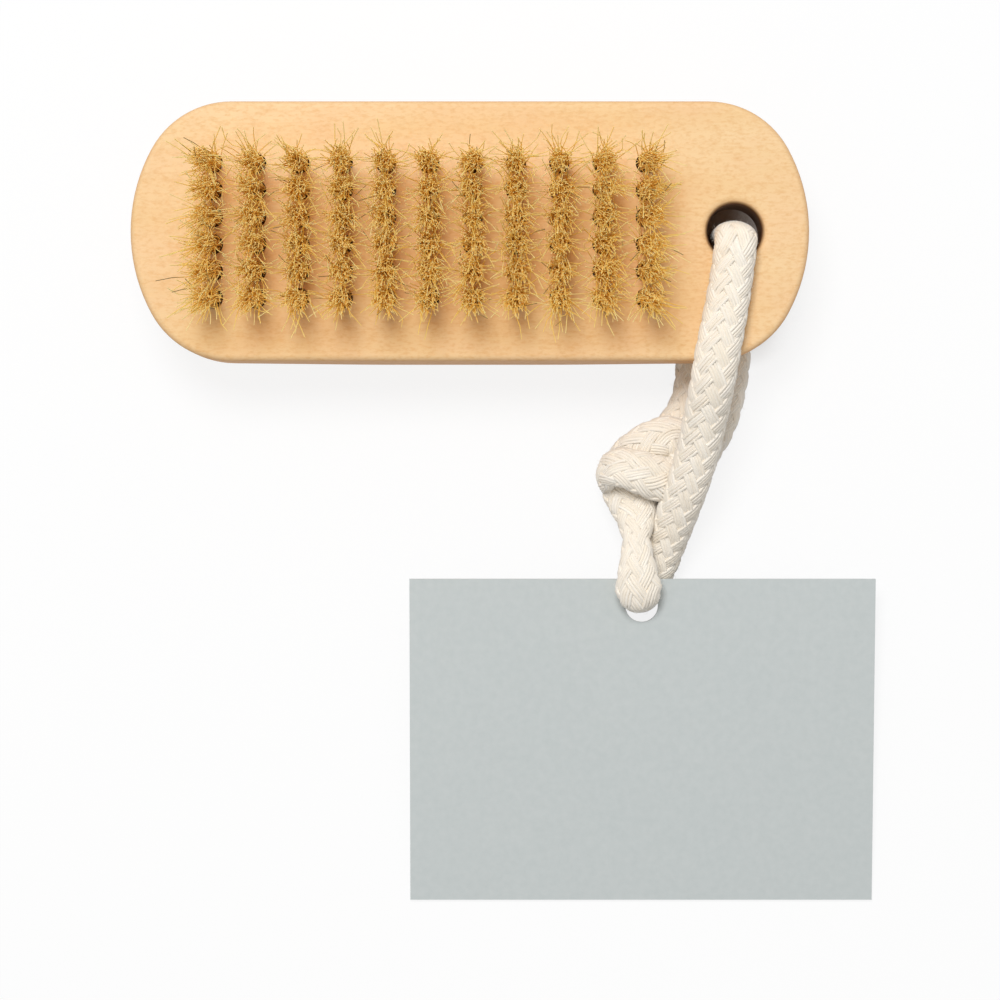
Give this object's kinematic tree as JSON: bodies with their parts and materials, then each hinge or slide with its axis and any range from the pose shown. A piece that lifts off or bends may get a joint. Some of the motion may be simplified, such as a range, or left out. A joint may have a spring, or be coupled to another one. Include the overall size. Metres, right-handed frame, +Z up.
{
  "type": "nail brush",
  "caption": "Wooden nail brush with natural bristle tufts set in a round-ended block, a cotton cord loop knotted through a hole at one end, and a blank card tag.",
  "frame": {"origin": "on the floor under the middle of the block", "axes": "+X along the block to the end with the hanging hole, +Y across it, +Z up through the bristles"},
  "size_m": [0.111, 0.1196, 0.028],
  "materials": {
    "pale_wood": "sanded, lightly oiled",
    "natural_bristle": "natural fibre",
    "anchor_wire": "plain",
    "cotton_cord": "undyed braid",
    "tag_card": "uncoated, matt"
  },
  "bodies": {
    "brush": {"wood_block": "pale_wood", "bristle_row_01": "natural_bristle", "bristle_row_02": "natural_bristle", "bristle_row_03": "natural_bristle", "bristle_row_04": "natural_bristle", "bristle_row_05": "natural_bristle", "bristle_row_06": "natural_bristle", "bristle_row_07": "natural_bristle", "bristle_row_08": "natural_bristle", "bristle_row_09": "natural_bristle", "bristle_row_10": "natural_bristle", "bristle_row_11": "natural_bristle", "anchor_row_01": "anchor_wire", "anchor_row_02": "anchor_wire", "anchor_row_03": "anchor_wire", "anchor_row_04": "anchor_wire", "anchor_row_05": "anchor_wire", "anchor_row_06": "anchor_wire", "anchor_row_07": "anchor_wire", "anchor_row_08": "anchor_wire", "anchor_row_09": "anchor_wire", "anchor_row_10": "anchor_wire", "anchor_row_11": "anchor_wire"},
    "cord_loop": {"cord_front_strand": "cotton_cord", "cord_back_strand": "cotton_cord", "cord_tag_bight": "cotton_cord", "cord_knot": "cotton_cord", "cord_tail": "cotton_cord"},
    "tag": {"hang_tag": "tag_card"}
  },
  "joints": [
    {"name": "loop_swing", "type": "hinge", "parent": "brush", "child": "cord_loop", "pos_m": [0.039, 0, 0], "axis": [0, 0, 1], "range_deg": [0, 180]},
    {"name": "tag_flip", "type": "hinge", "parent": "cord_loop", "child": "tag", "pos_m": [0.0258, -0.0523, 0.00537], "axis": [-1, 0, 0], "range_deg": [0, 85]}
  ]
}
